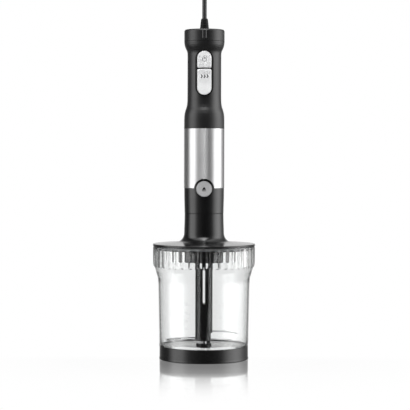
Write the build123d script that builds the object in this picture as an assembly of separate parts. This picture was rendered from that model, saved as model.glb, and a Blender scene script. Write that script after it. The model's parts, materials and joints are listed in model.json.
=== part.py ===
from build123d import *
import math
import os

# Hand (immersion) blender motor unit standing on its chopper attachment.
# Millimetres, +Z up, origin at the centre of the foot ring's resting face,
# front of the appliance (buttons) towards -Y.

os.makedirs("parts", exist_ok=True)

# ---------------------------------------------------------------- dimensions
# bowl and foot
RING_R = 62.1           # foot ring outer radius
RING_LIP_R = 62.5       # its bottom lip
RING_H = 19.0
FLOOR_Z = 18.0          # inside face of the bowl floor
WALL = 2.3
COLLAR_Z0 = 129.0       # lower end of the fluted collar
BOWL_TOP = 158.4
COLLAR_R = 71.3
COLLAR_RI = 68.3        # bore of the collar
FLUTES = 36
FLUTE_DEPTH = 1.5
FLUTE_R = 12.75         # radius of each hollow flute
# blade unit
HUB_R = 12.1
HUB_Z0 = 25.0
HUB_TOP = 135.0
SLOT_W = 3.2
PIN_R = 2.5
HEX_R = 6.5             # hex drive on top of the hub, across corners / 2
UPPER_BLADE_R = 47.0
LOWER_BLADE_R = 39.0
BLADE_T = 1.3
# lid and gearbox (planetary, module 1)
LID_R = 71.66
LID_Z = 158.5
SEAM_Z = 204.0          # lid neck / motor unit
MODULE = 1.0
PRESSURE_DEG = 25.0
SUN_T, PLANET_T, RING_T = 12, 18, 48
PLANET_ORBIT = MODULE * (SUN_T + PLANET_T) / 2
GEAR_Z0, GEAR_Z1 = 150.3, 158.3
BACKLASH = 0.14         # taken off each tooth's thickness at the pitch circle
# motor unit
COLLAR_TOP = 239.4
SLEEVE_R = 28.2
SLEEVE_T = 0.9
SLEEVE_TOP = 322.3
GRIP_R = 23.5
HEAD_SEAM = 443.5
HEAD_R = 28.1
HEAD_TOP = 460.0
RELIEF_TOP = 475.7
RELEASE_Z = 238.5
RELEASE_R = 10.9
RELEASE_RING_R = 14.0
LATCH_Y, LATCH_Z = -24.0, 225.0   # the latch's pivot pin
PANEL_W = 25.3
PANEL_Z0, PANEL_Z1 = 367.0, 431.0
BUTTON_W = 19.6
POWER_Z0, POWER_Z1 = 406.0, 429.3
TURBO_Z0, TURBO_Z1 = 368.7, 404.4
# mains lead
LEAD_D = 6.3
COIL_X, COIL_Y = -19.0, 133.5
COIL_RI, COIL_RO = 22.45, 46.05
COIL_Z = 0.5
PLUG_X, PLUG_Y = 43.5, 90.6   # middle of the plug's face, pins towards +X
PLUG_W, PLUG_H, PLUG_L = 35.3, 13.7, 34.0
PLUG_PIN_R, PLUG_PIN_L, PLUG_PITCH = 2.0, 19.0, 19.0


# ------------------------------------------------------------------- helpers
def rev(pts):
    """Turned part from (radius, z) points."""
    return revolve(make_face(Plane.XZ * Polyline(*pts, close=True)), Axis.Z, 360)


def cyl(r, z0, z1, x=0.0, y=0.0):
    return Pos(x, y, z0) * Cylinder(r, z1 - z0, align=(Align.CENTER, Align.CENTER, Align.MIN))


def tube(ro, ri, z0, z1, x=0.0, y=0.0):
    return cyl(ro, z0, z1, x, y) - cyl(ri, z0 - 1, z1 + 1, x, y)


def block(x0, x1, y0, y1, z0, z1):
    return Pos((x0 + x1) / 2, (y0 + y1) / 2, z0) * Box(
        x1 - x0, y1 - y0, z1 - z0, align=(Align.CENTER, Align.CENTER, Align.MIN))


def ycyl(r, y0, y1, z, x=0.0):
    """Cylinder along Y."""
    return Pos(x, y1, z) * Rot(90, 0, 0) * Cylinder(
        r, y1 - y0, align=(Align.CENTER, Align.CENTER, Align.MIN))


def xcyl(r, x0, x1, y, z):
    """Cylinder along X."""
    return Pos(x0, y, z) * Rot(0, 90, 0) * Cylinder(
        r, x1 - x0, align=(Align.CENTER, Align.CENTER, Align.MIN))


def prism_z(pts, z0, z1):
    """Closed XY polygon extruded from z0 to z1."""
    f = make_face(Plane.XY.offset(z0) * Polyline(*pts, close=True))
    return extrude(f, amount=z1 - z0, dir=(0, 0, 1))


def prism_y(pts, y0, y1):
    """Closed XZ polygon extruded from y0 to y1."""
    f = make_face(Plane(origin=(0, y0, 0), x_dir=(1, 0, 0), z_dir=(0, -1, 0)) * Polyline(*pts, close=True))
    return extrude(f, amount=y1 - y0, dir=(0, 1, 0))


def polar(r, deg):
    return (r * math.cos(math.radians(deg)), r * math.sin(math.radians(deg)))


def hexagon(r, z0, z1):
    return prism_z([polar(r, 60 * i) for i in range(6)], z0, z1)


def sector(ri, ro, a0, a1, z0, z1, step=5.0):
    n = max(2, int(abs(a1 - a0) / step))
    out = [polar(ro, a0 + (a1 - a0) * i / n) for i in range(n + 1)]
    inn = [polar(ri, a1 + (a0 - a1) * i / n) for i in range(n + 1)]
    return prism_z(out + inn, z0, z1)


def stadium(w, z0, z1, y0, y1, rt=None, rb=None):
    """Upright rounded panel, w wide; rt and rb are its top and bottom corner radii."""
    rt = w / 2 if rt is None else rt
    rb = w / 2 if rb is None else rb
    h = w / 2
    pts = []
    for cx, cz, r, a0 in ((h - rt, z1 - rt, rt, 0), (-(h - rt), z1 - rt, rt, 90),
                          (-(h - rb), z0 + rb, rb, 180), (h - rb, z0 + rb, rb, 270)):
        n = 10 if r > 4 else 4
        for i in range(n + 1):
            a = math.radians(a0 + 90 * i / n)
            p = (cx + r * math.cos(a), cz + r * math.sin(a))
            if not pts or math.dist(p, pts[-1]) > 1e-4:
                pts.append(p)
    if math.dist(pts[0], pts[-1]) < 1e-4:
        pts.pop()
    return prism_y(pts, y0, y1)


def solid(*shapes):
    """Join into one shape."""
    s = shapes[0]
    for t in shapes[1:]:
        s = s + t
    return s


def save(name, *shapes):
    """One solid, or a group of separate solids, to parts/name.step."""
    if len(shapes) == 1:
        s = shapes[0]
        sol = s.solids()
        s = sol[0] if len(sol) == 1 else Compound(children=list(sol))
    else:
        s = Compound(children=[x.solids()[0] for x in shapes])
    s.label = name
    export_step(s, f"parts/{name}.step")


# ---------------------------------------------------------------- gear teeth
def involute_gear(teeth, add, ded, extra=0.0, steps=4):
    """Points of an external gear (or of an internal gear's space) about its centre.

    The first tooth's middle lies on +X.  extra is added to the tooth's thickness.
    """
    rp = MODULE * teeth / 2
    rb = rp * math.cos(math.radians(PRESSURE_DEG))
    ra, rf = rp + add, rp - ded
    inv = lambda a: math.tan(a) - a
    half = (math.pi * MODULE / 2 + extra) / (2 * rp) + inv(math.radians(PRESSURE_DEG))
    r0 = max(rb, rf)
    flank = []
    for i in range(steps + 1):
        r = r0 + (ra - r0) * i / steps
        a = math.acos(min(1.0, rb / r))
        flank.append((r, half - inv(a)))
    pts = []
    for k in range(teeth):
        c = 2 * math.pi * k / teeth
        side = []
        if rf < rb - 1e-6:
            side.append((rf, flank[0][1]))
        side += flank
        for r, t in side:
            pts.append((r * math.cos(c - t), r * math.sin(c - t)))
        for r, t in reversed(side):
            pts.append((r * math.cos(c + t), r * math.sin(c + t)))
    return pts


def turned(pts, deg, dx=0.0, dy=0.0):
    c, s = math.cos(math.radians(deg)), math.sin(math.radians(deg))
    return [(dx + x * c - y * s, dy + x * s + y * c) for x, y in pts]


# ====================================================================== bowl
outer = [(61.9, 19), (62.5, 27), (63.9, 97), (64.2, 108.2), (64.4, 111), (64.9, 114),
         (65.6, 116.6), (66.4, 119.4), (67.2, 122.2), (68.05, 125), (68.8, 127.4),
         (69.4, 129.0), (70.6, 131.0), (71.0, 133), (71.15, 136), (COLLAR_R, 157.6), (71.0, BOWL_TOP)]
inner = [(COLLAR_RI, BOWL_TOP), (COLLAR_RI, 131.5), (67.2, 128.4), (65.9, 124), (64.7, 120.4),
         (63.5, 116.4), (62.5, 112.4), (61.9, 108), (61.6, 97), (60.2, 27), (59.6, 21.0),
         (58.9, 19.2), (57.4, FLOOR_Z), (0, FLOOR_Z)]
bowl = rev([(0, 15.4), (57.3, 15.4), (57.3, 5), (59.6, 5), (59.6, RING_H)] + outer + inner)
bowl = bowl + cyl(7.0, 9.0, 16.0)
bowl = bowl - cyl(PIN_R, 10.0, FLOOR_Z + 1)
flute_c = COLLAR_R - FLUTE_DEPTH + FLUTE_R
cutters = [cyl(FLUTE_R, 120.0, 156.6, *polar(flute_c, 360 / FLUTES * i)) for i in range(FLUTES)]
bowl = bowl - cutters
save("bowl", bowl)

save("foot_ring", rev([(50, 0), (62.1, 0), (RING_LIP_R, 0.5), (RING_LIP_R, 1.8), (RING_R, 4),
                       (62.0, 18.3), (61.4, RING_H), (59.6, RING_H), (59.6, 5), (50, 5)]))
save("pin_seat", rev([(PIN_R, FLOOR_Z), (10.9, FLOOR_Z), (10.9, 20.3), (9.9, 21.3), (PIN_R, 21.3)]))
save("blade_pin", rev([(0, 10), (PIN_R, 10), (PIN_R, 21.3), (4.0, 21.3), (4.0, 24.9), (PIN_R, 24.9),
                       (PIN_R, 59.0), (1.7, 60.0), (0, 60.0)]))


# ================================================================ blade unit
def blade(profile, plan, mirror_x=False):
    """Bent strip: an XZ centre line given BLADE_T thickness, cut to its plan shape."""
    h = BLADE_T / 2
    top, bot = [], []
    for i, (x, z) in enumerate(profile):
        a = profile[max(0, i - 1)]
        b = profile[min(len(profile) - 1, i + 1)]
        L = math.dist(a, b)
        nx, nz = -(b[1] - a[1]) / L, (b[0] - a[0]) / L
        top.append((x + nx * h, z + nz * h))
        bot.append((x - nx * h, z - nz * h))
    strip = prism_y(top + bot[::-1], -22, 22)
    body = strip & prism_z(plan, 10, 60)
    return body


up_profile = [(-9, 38.7), (20, 38.7), (29, 38.4), (36, 37.3), (42, 36.0), (UPPER_BLADE_R, 34.7)]
up_plan = [(-9, -5), (8, -6.5), (16, -9.5), (24, -10.2), (32, -8.6), (39, -4.6), (44, 0.2),
           (46.8, 5.0), (46.2, 6.2), (42, 5.2), (36, 4.6), (28, 4.6), (18, 5.2), (8, 6.0), (-9, 5)]
upper_blade = blade(up_profile, up_plan)
lo_profile = [(-LOWER_BLADE_R, 28.9), (-30, 28.4), (-20, 27.4), (-8, 26.6), (9, 26.6)]
lo_plan = [(9, 5), (-8, 6.5), (-14, 9.2), (-21, 9.6), (-28, 7.6), (-34, 3.4), (-38.6, -3.6),
           (-38.0, -4.8), (-33, -4.6), (-26, -4.6), (-16, -5.2), (-8, -6.0), (9, -5)]
lower_blade = blade(lo_profile, lo_plan)
upper_blade = upper_blade - cyl(5.0, 20, 60)
lower_blade = lower_blade - cyl(5.0, 20, 60)

hub = cyl(HUB_R, HUB_Z0, HUB_TOP - 1.0) + Pos(0, 0, HUB_TOP - 1.0) * Cone(
    HUB_R, HUB_R - 1.0, 1.0, align=(Align.CENTER, Align.CENTER, Align.MIN))
hub = hub + hexagon(HEX_R, HUB_TOP - 0.5, 148.0)
# the lower right side is stepped in below the upper blade
hub = hub - (tube(HUB_R + 2, 9.8, HUB_Z0 - 1, 36.5) & block(0, 20, -20, 20, HUB_Z0 - 1, 36.5))
# the lower left side ends a little higher, rounded under the lower blade
hub = hub - (tube(HUB_R + 2, 9.8, HUB_Z0 - 1, 25.9) & block(-20, 0.1, -20, 20, HUB_Z0 - 1, 25.9))
# see-through slot with round lower end
slot = block(-SLOT_W / 2, SLOT_W / 2, -20, 20, 77 + SLOT_W / 2, 128.0)
hub = hub - slot - ycyl(SLOT_W / 2, -20, 20, 77 + SLOT_W / 2)
# shallow channel front and back, its right edge slanting in at mid height
chan = [(-4.7, 28.0), (-4.7, 131.0), (7.0, 131.0), (7.0, 74.0), (4.0, 55.0), (4.0, 43.0), (4.0, 28.0)]
chan_f = prism_y(chan, -14, -10.2)
chan_b = Rot(0, 0, 180) * prism_y(chan, -14, -10.2)
hub = hub - chan_f - chan_b
hub = hub - cyl(4.6, HUB_Z0 - 1, 44.0) - cyl(3.0, 43.0, 63.0)
hub = hub - upper_blade - lower_blade
save("blade_hub", hub)
save("upper_blade", upper_blade)
save("lower_blade", lower_blade)
save("hub_bush", tube(4.6, PIN_R + 0.05, HUB_Z0, 44.0))

# ======================================================================= lid
cover = rev([(66.0, LID_Z), (LID_R - 0.3, LID_Z), (LID_R, LID_Z + 0.3), (LID_R, 160.9), (71.3, 161.4),
             (60, 162.3), (45, 163.4), (37, 164.3), (34.2, 165.1), (32.1, 166.8), (30.6, 168.4),
             (29.4, 170.2), (28.5, 172.6), (28.0, 175.4), (27.7, 183.8), (27.4, 192.2),
             (27.24, 200.6), (27.2, SEAM_Z), (24.8, SEAM_Z), (24.8, 182), (25.4, 176), (25.9, 172),
             (27.2, 168.6), (29.3, 165.4), (31.5, 163.4), (34, 162.2), (45, 161), (60, 159.9), (66, 159.4)])
save("lid_cover", cover)
base = rev([(67.6, LID_Z), (67.6, 157.3), (66.6, 157.3), (66.6, 154.5), (67.6, 154.5), (67.6, 153.6),
            (67.0, 153.0), (35.2, 153.0), (35.2, 136.6), (34.6, 136), (33.8, 136), (33.2, 136.6), (33.2, 142),
            (15.2, 142), (15.2, 136), (10.05, 136), (10.05, 146.5),
            (15.2, 146.5), (15.2, 144.5), (33.2, 144.5), (33.2, 160.0), (35.2, 160.0), (35.2, 155.5),
            (64.6, 155.5), (64.6, 157.0), (66.0, LID_Z)])
save("lid_base", base)
save("lid_seal", rev([(66.6, 154.5), (67.9, 154.5), (68.0, 155.0), (67.7, 155.9), (68.0, 156.8),
                      (67.9, 157.3), (66.6, 157.3)]))
screw_a = (30, 150, 270)
ring_pts = involute_gear(RING_T, 1.02, 0.80, extra=BACKLASH)
ring = tube(33.2, 20.0, 149.6, 159.0) - prism_z(turned(ring_pts, 180.0 / RING_T), 148, 160)
ring = ring.solids().sort_by(lambda s: s.volume)[-1]
# the space inside the teeth is open
ring = ring - cyl(23.0, 148, 160)
for a in screw_a:
    ring = ring - cyl(1.25, 151.0, 160.0, *polar(29.9, a))
save("ring_gear", ring)
cap = tube(33.2, 4.6, 159.0, 161.5) + tube(6.4, 4.6, 159.0, 174.0)
for a in screw_a:
    cap = cap - cyl(1.25, 158, 162, *polar(29.9, a)) - cyl(2.3, 160.1, 162, *polar(29.9, a))
save("gearbox_cap", cap)
save("gearbox_screws", *[cyl(1.25, 151.0, 160.2, *polar(29.9, a)) + (
    cyl(2.3, 160.1, 161.5, *polar(29.9, a)) - block(-0.4, 0.4, -1.8, 1.8, 160.9, 162).moved(
        Location((*polar(29.9, a), 0)))) for a in screw_a])
save("input_bush", tube(4.6, 3.04, 159.0, 174.0))
spigot = rev([(4.2, 186), (24.8, 186), (24.8, SEAM_Z), (21.7, SEAM_Z), (21.7, 226.0), (20.9, 226.8),
              (18.5, 226.8), (18.5, 189), (4.2, 189)])
spigot = spigot - block(-5.2, 5.2, -24, -17, 213.6, 219.4)
# above the catch's sill a shallow groove lets the hook run out as the motor unit is drawn off
spigot = spigot - block(-3.3, 3.3, -24, -20.7, 221.0, 228.0)
save("neck_spigot", spigot)

# input shaft: press-fitted sun at the bottom, hex drive at the top
save("input_shaft", cyl(3.0, 150.2, 207.0) + hexagon(4.2, 206.0, 222.0))
sun_pts = involute_gear(SUN_T, 0.80, 1.02, extra=-BACKLASH)
save("sun_gear", prism_z(turned(sun_pts, 0), GEAR_Z0, GEAR_Z1) - cyl(3.0, 148, 160))

# carrier
carrier = cyl(10.0, 137.0, 147.3) + cyl(20.5, 147.2, 149.4)
carrier = carrier - hexagon(6.9, 136, 148.4)
ORBIT_A = (90, 210, 330)
for a in ORBIT_A:
    carrier = carrier - cyl(PIN_R, 146, 150, *polar(PLANET_ORBIT, a))
save("planet_carrier", carrier)
save("planet_pins", *[cyl(PIN_R, 147.2, 158.6, *polar(PLANET_ORBIT, a)) for a in ORBIT_A])
planet_pts = involute_gear(PLANET_T, 0.80, 1.02, extra=-BACKLASH)
for name, a in zip("abc", ORBIT_A):
    # A planet at orbit angle a meshes with the sun (a sun tooth on +X): when a
    # sun tooth points at the planet, the planet shows a gap towards the sun.
    sun_phase = (a * SUN_T / 360.0) % 1.0
    turn = a + 180 + 180.0 / PLANET_T + sun_phase * 360.0 / PLANET_T
    g = prism_z(turned(planet_pts, turn, *polar(PLANET_ORBIT, a)), GEAR_Z0, GEAR_Z1)
    save("planet_gear_" + name, g - cyl(PIN_R + 0.05, 148, 160, *polar(PLANET_ORBIT, a)))

# ================================================================ motor unit
low = rev([(22.0, 204.1), (27.0, 204.1), (27.3, 204.6), (27.35, 209), (27.56, 217.4), (27.8, 225.8),
           (27.87, 234.2), (27.9, COLLAR_TOP), (27.25, COLLAR_TOP), (27.25, 246), (25.4, 246),
           (25.4, 206.6), (23.6, 206.6), (23.6, 230), (22.0, 230)])
bezel_ring = ycyl(RELEASE_RING_R, -30, -15, RELEASE_Z) & tube(29.2, 27.25, 220, 256)
low = solid(low, bezel_ring) - ycyl(11.2, -31, -20, RELEASE_Z)
# window for the latch, a pocket behind its tail and two ears that carry its pin
low = low - block(-4.0, 4.0, -24.2, -21.0, 213.0, 231.0) - block(-3.8, 3.8, -26.0, -24.0, 212.5, 227.0)
for s in (-1, 1):
    ear = block(min(4.2 * s, 5.8 * s), max(4.2 * s, 5.8 * s), -26, -22, 223.2, 226.8) & tube(25.8, 23.2, 222, 228)
    low = low + ear
low = low - xcyl(1.0, -6.5, 6.5, LATCH_Y, LATCH_Z)
low = low.solids().sort_by(lambda s: s.volume)[-1]
save("lower_collar", low)
sleeve = rev([(SLEEVE_R - SLEEVE_T, 239.5), (SLEEVE_R - 0.35, 239.5), (SLEEVE_R, 240.0),
              (SLEEVE_R, SLEEVE_TOP - 0.5), (SLEEVE_R - 0.35, SLEEVE_TOP), (SLEEVE_R - SLEEVE_T, SLEEVE_TOP)])
sleeve = sleeve - ycyl(RELEASE_RING_R + 0.05, -35, -15, RELEASE_Z)
save("steel_sleeve", sleeve)

body_out = [(28.2, 322.4), (28.1, 326.6), (28.08, 335), (27.9, 339), (27.4, 343.4), (26.4, 347.5),
            (24.9, 351.8), (24.1, 355.5), (23.65, 360.2), (23.55, 368), (GRIP_R, 422), (23.6, 426.8),
            (23.9, 428.6), (24.4, 430.2), (25.6, 432.8), (26.8, 435.6), (27.6, 438.4), (28.0, 441.4),
            (28.1, 443.4)]
body_in = [(26.2, 443.4), (25.6, 438.8), (24.2, 434.6), (22.6, 431.5), (21.7, 427.5), (21.4, 423),
           (21.4, 360.5), (22.2, 355), (24.3, 349), (25.7, 343), (26.0, 335), (26.0, 323), (25.4, 322.4),
           (25.4, 316), (27.25, 316), (27.25, 322.4)]
housing = rev(body_out + body_in)
housing = housing - stadium(PANEL_W + 0.1, PANEL_Z0 - 0.05, PANEL_Z1 + 0.05, -35, -12)
save("upper_housing", housing)

BEZEL_R = 24.4
bz = stadium(PANEL_W, PANEL_Z0, PANEL_Z1, -30, -12) & tube(BEZEL_R, 19.6, 360, 440)
bz = bz - stadium(BUTTON_W + 0.5, POWER_Z0 - 0.25, POWER_Z1 + 0.25, -30, -12, rb=2.2)
bz = bz - stadium(BUTTON_W + 0.5, TURBO_Z0 - 0.25, TURBO_Z1 + 0.25, -30, -12, rt=2.2)
bz = bz.solids().sort_by(lambda s: s.volume)[-1]
save("button_bezel", bz)

BTN_R = 24.7
PLUNGER_Z = ((POWER_Z0 + POWER_Z1) / 2, 388.0)
pw = stadium(BUTTON_W, POWER_Z0, POWER_Z1, -30, -12, rb=2.0) & tube(BTN_R, 21.6, 360, 440)
pw = pw + ycyl(2.2, -22.3, -17.4, PLUNGER_Z[0])
save("power_button", pw)
tb = stadium(BUTTON_W, TURBO_Z0, TURBO_Z1, -30, -12, rt=2.0) & tube(BTN_R, 21.6, 360, 440)
tb = tb + ycyl(2.2, -22.3, -17.4, PLUNGER_Z[1])
save("turbo_button", tb)
# silicone pad behind the buttons: a sheet with two domes that the plungers push
pad = block(-10.5, 10.5, -14.9, -14.1, 368, 428)
for z in PLUNGER_Z:
    pad = pad + Pos(0, -14.5, z) * Rot(90, 0, 0) * Cone(5.0, 3.0, 2.8, align=(Align.CENTER, Align.CENTER, Align.MIN))
    pad = pad - ycyl(2.4, -16.2, -13.0, z)
save("button_pad", pad)
board = block(-13.5, 13.5, -8.0, -6.4, 364, 433)
save("circuit_board", board)
save("micro_switches", *[block(-3.2, 3.2, -13.6, -8.0, z - 6.4, z + 6.4) + ycyl(1.0, -14.6, -13.5, z)
                         for z in PLUNGER_Z])
save("capacitor", block(-8.8, 8.8, -6.4, 3.6, 368, 386))

# release button and its rocking latch
rb = (ycyl(RELEASE_R, -31, -27.2, RELEASE_Z) & cyl(29.0, 220, 256)) + ycyl(2.6, -27.5, -25.3, RELEASE_Z + 4.0)
save("release_button", rb)
latch = block(-2.8, 2.8, -24.8, -24.0, 226.0, 243.4) + block(-2.8, 2.8, -24.0, -23.2, 214.6, 227.0)
latch = latch + block(-2.8, 2.8, -23.6, -20.9, 214.6, 217.4) + xcyl(0.95, -5.7, 5.7, LATCH_Y, LATCH_Z)
latch = latch.solids().sort_by(lambda s: s.volume)[-1]
save("release_latch", latch)

# universal motor
BRG_RO, BRG_RI, BRG_W = 11.0, 4.0, 7.0
SHAFT_R = 3.96
lower = rev([(8, 246.2), (26.9, 246.2), (26.9, 290), (25.0, 290), (25.0, 249.2), (13.5, 249.2),
             (13.5, 254.2), (BRG_RO, 254.2), (BRG_RO, 247.2), (8, 247.2)])
for i in range(8):
    lower = lower - Rot(0, 0, 22.5 + 45 * i) * block(22.0, 30.0, -4.5, 4.5, 254.0, 264.0)
# room for the pressed release button
lower = lower - block(-12.2, 12.2, -30, -21.5, 246.0, 253.0)
save("lower_bracket", lower)
upper = rev([(23.4, 300.2), (25.2, 300.2), (25.2, 325.2), (8, 325.2), (8, 324.2), (BRG_RO, 324.2),
             (BRG_RO, 317.2), (13.5, 317.2), (13.5, 322.2), (23.4, 322.2)])
for s in (-1, 1):
    upper = upper + cyl(3.0, 300.2, 325.2, 0, 22.0 * s)
for s in (-1, 1):
    upper = upper - cyl(1.5, 299, 326, 0, 22.0 * s)
save("upper_bracket", upper)
save("motor_bearings", *[tube(BRG_RO, BRG_RI, z, z + BRG_W) - tube(9.2, 5.8, z - 0.1, z + 0.5)
                         - tube(9.2, 5.8, z + BRG_W - 0.5, z + BRG_W + 0.1) for z in (247.2, 317.2)])
save("motor_screws", *[cyl(1.5, 286.0, 325.2, 0, 22.0 * s) + cyl(2.7, 325.2, 327.2, 0, 22.0 * s)
                       for s in (-1, 1)])
stator = tube(25.0, 21.0, 268.0, 300.2)
for a in (0, 180):
    stator = stator + sector(14.2, 21.6, a - 38, a + 38, 268.0, 300.2)
for s in (-1, 1):
    stator = stator + cyl(3.0, 268.0, 300.2, 0, 22.0 * s)
stator = stator - cyl(14.2, 260, 310)
for s in (-1, 1):
    stator = stator - cyl(1.5, 286.0, 301, 0, 22.0 * s)
save("stator_core", stator)
coils = []
for a in (0, 180):
    c = sector(15.0, 20.6, a - 78, a + 78, 261.2, 267.9) + sector(15.0, 20.6, a - 78, a + 78, 300.3, 307.0)
    for s in (-1, 1):
        lo_a, hi_a = sorted((a + s * 44, a + s * 76))
        c = c + sector(15.0, 20.6, lo_a, hi_a, 267.5, 300.5)
    coils.append(c)
save("field_coils", *coils)
holders, brushes = [], []
for s in (-1, 1):
    x0, x1 = sorted((9.2 * s, 22.9 * s))
    h = block(x0, x1, -4.2, 4.2, 308.4, 316.4)
    b0, b1 = sorted((8.2 * s, 19.0 * s))
    h = h - block(min(8 * s, 21 * s), max(8 * s, 21 * s), -3.0, 3.0, 309.4, 315.4)
    holders.append(h)
    brushes.append(block(b0, b1, -3.0, 3.0, 309.4, 315.4))
save("brush_holders", *holders)
save("carbon_brushes", *brushes)

save("motor_shaft", cyl(SHAFT_R, 224.0, 323.8))
core = cyl(13.8, 268.0, 300.2) - cyl(SHAFT_R, 260, 310)
for i in range(12):
    core = core - Rot(0, 0, 15 + 30 * i) * block(8.5, 15.0, -1.1, 1.1, 260, 310)
save("armature_core", core)
save("armature_windings", tube(12.8, SHAFT_R, 260.6, 268.0) - tube(14, 11.4, 259, 262.0),
     tube(12.8, SHAFT_R, 300.2, 306.4) - tube(14, 11.4, 304.8, 308.0))
comm = tube(8.0, SHAFT_R, 307.6, 316.8)
for i in range(24):
    comm = comm - Rot(0, 0, 15 * i) * block(7.2, 9.0, -0.25, 0.25, 307, 318)
save("commutator", comm)
fan = tube(6.5, SHAFT_R, 255.0, 260.4) + tube(21.5, 6.0, 259.3, 260.4)
for i in range(11):
    fan = fan + Rot(0, 0, 360 / 11 * i) * (
        prism_z([(6.2, -0.6), (13, 0.9), (21, 4.2), (21, 5.4), (13, 2.1), (6.2, 0.6)], 255.0, 259.5))
save("cooling_fan", fan)
drive = cyl(8.5, 209.0, 232.0) - hexagon(4.6, 208, 223.5) - cyl(SHAFT_R, 223, 233)
drive = drive - tube(10, 7.6, 224.0, 228.0)
save("drive_coupling", drive)

# head: fixed frame, resistor track, dial, strain relief
head = tube(25.2, 5.0, 438.8, 441.2)
head = head + tube(9.42, 7.4, 441.2, 459.6) + tube(9.42, 5.0, 441.2, 446.0)
save("head_frame", head)
save("speed_track", tube(23.5, 12.0, 441.2, 442.4))
dial = rev([(9.5, 445.0), (11.2, 445.0), (11.2, 457.4), (25.9, 457.4), (25.9, HEAD_SEAM + 0.1),
            (HEAD_R, HEAD_SEAM + 0.1), (HEAD_R, 458.0), (27.9, 459.0), (27.3, 459.6), (26.3, HEAD_TOP),
            (9.5, HEAD_TOP)])
rib = (cyl(3.5, 450.2, 458.2, 0, -25.8) + Pos(0, -25.8, 450.2) * Sphere(3.5)) - cyl(27.0, 440, 460)
rib = rib.solids().sort_by(lambda s: s.volume)[-1]
save("speed_dial", dial + rib)
save("dial_wiper", block(-2.0, 2.0, -18.4, -17.8, 442.6, 457.4) + block(-2.0, 2.0, -18.4, -14.0, 456.6, 457.4))
save("strain_relief", rev([(0, 446.0), (7.4, 446.0), (7.4, 450.0), (6.6, 450.6), (6.25, 461.0), (5.6, 468.0),
                           (5.0, 473.0), (4.2, RELIEF_TOP), (0, RELIEF_TOP)]))

# ================================================================ mains lead
D = LEAD_D
LAND_R = 35.0           # bend where the lead lands on the table
LAND_Z = COIL_Z + D / 2
LAND_X, LAND_Y = COIL_X + 25.6, 100.5    # comes down over the coil and joins its inner turn
c15, s15 = LAND_R / math.cos(math.radians(15)), math.radians(15)
route = [(0, 0, RELIEF_TOP), (0, 0, 500.0), (0, 0.4, 528.2), (0, 10.2, 545.8), (0, 27.8, 556.0),
         (0, 48.2, 556.0), (0, 65.8, 545.8), (0, 76.0, 528.2), (0, 78.5, 499.0), (0.3, 80.5, 452.0),
         (1.5, 82.5, 396.0), (3.5, 85.0, 338.0), (5.5, 88.3, 280.0), (7.2, 91.6, 222.0),
         (8.2, 95.2, 164.0), (8.4, 98.4, 108.0), (7.8, 100.1, 66.0),
         (LAND_X, LAND_Y, LAND_Z + LAND_R - c15 * math.sin(s15)),
         (LAND_X, LAND_Y + LAND_R - c15 * math.cos(math.radians(45)),
          LAND_Z + LAND_R - c15 * math.sin(math.radians(45))),
         (LAND_X, LAND_Y + LAND_R - c15 * math.cos(math.radians(75)), LAND_Z),
         (LAND_X, LAND_Y + LAND_R + 9.0, LAND_Z)]
print("route", [tuple(round(v, 2) for v in p) for p in route])


def lead_path(pts):
    """Straight runs joined by the largest tangent arcs that the runs allow."""
    radii = []
    for a, b, c in zip(pts, pts[1:], pts[2:]):
        u, v = Vector(b) - Vector(a), Vector(c) - Vector(b)
        turn = math.radians(u.get_angle(v))
        radii.append(0.45 * min(u.length, v.length) / math.tan(turn / 2))
    runs = [math.dist(p, q) for p, q in zip(pts, pts[1:])]
    print("runs", [round(r, 1) for r in runs])
    print("radii", [round(r, 1) for r in radii])
    return FilletPolyline(*pts, radius=radii)


def lead(pts):
    p = lead_path(pts)
    start = Vector(pts[0])
    d = (Vector(pts[1]) - start).normalized()
    s = sweep(Plane(origin=start, z_dir=d) * Circle(D / 2), path=p)
    print("lead length", round(p.length, 1), "volume ratio",
          round(s.volume / (math.pi * D * D / 4 * p.length), 5))
    return s


save("cord_tube", lead(route))
coil = tube(COIL_RO, COIL_RI, COIL_Z, COIL_Z + D, COIL_X, COIL_Y)
save("cord_coil", coil)
tail = [(COIL_X, PLUG_Y, LAND_Z), (-10.0, PLUG_Y, LAND_Z), (0.5, PLUG_Y, PLUG_H / 2),
        (PLUG_X - PLUG_L, PLUG_Y, PLUG_H / 2)]
save("cord_tail", lead(tail))
tie_x = COIL_X - (COIL_RI + COIL_RO) / 2
tie = block(tie_x - 13.0, tie_x + 13.0, COIL_Y - 5, COIL_Y + 5, 0, COIL_Z + D + 0.5)
tie = tie - block(tie_x - 12.5, tie_x + 12.5, COIL_Y - 6, COIL_Y + 6, COIL_Z, COIL_Z + D)
save("cord_tie", tie)
h = PLUG_H / 2
at_plug = Pos(PLUG_X, PLUG_Y, 0) * Rot(0, 0, 90)


def plug_section(y, pts):
    """Cross-section of the plug, y mm behind its face, before it is turned to +X."""
    return make_face(Plane(origin=(0, y, h), x_dir=(1, 0, 0), z_dir=(0, 1, 0)) * Polyline(*pts, close=True))


body_pts = [(PLUG_W / 2, 0), (PLUG_W / 2 - 5, h), (-PLUG_W / 2 + 5, h), (-PLUG_W / 2, 0),
            (-PLUG_W / 2 + 5, -h), (PLUG_W / 2 - 5, -h)]
plug = extrude(plug_section(0, body_pts), amount=20, dir=(0, 1, 0))
rear = loft([plug_section(20, body_pts),
             plug_section(PLUG_L, [(5.6, 0), (3.4, 4.2), (-3.4, 4.2), (-5.6, 0), (-3.4, -4.2), (3.4, -4.2)])])
save("plug_body", solid(at_plug * plug, at_plug * rear))
save("plug_pins", *[at_plug * ycyl(PLUG_PIN_R, -PLUG_PIN_L, 0, h, x=s * PLUG_PITCH / 2) for s in (-1, 1)])
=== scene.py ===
import json
import math

import bmesh
import bpy
from mathutils import Matrix, Quaternion, Vector


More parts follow.
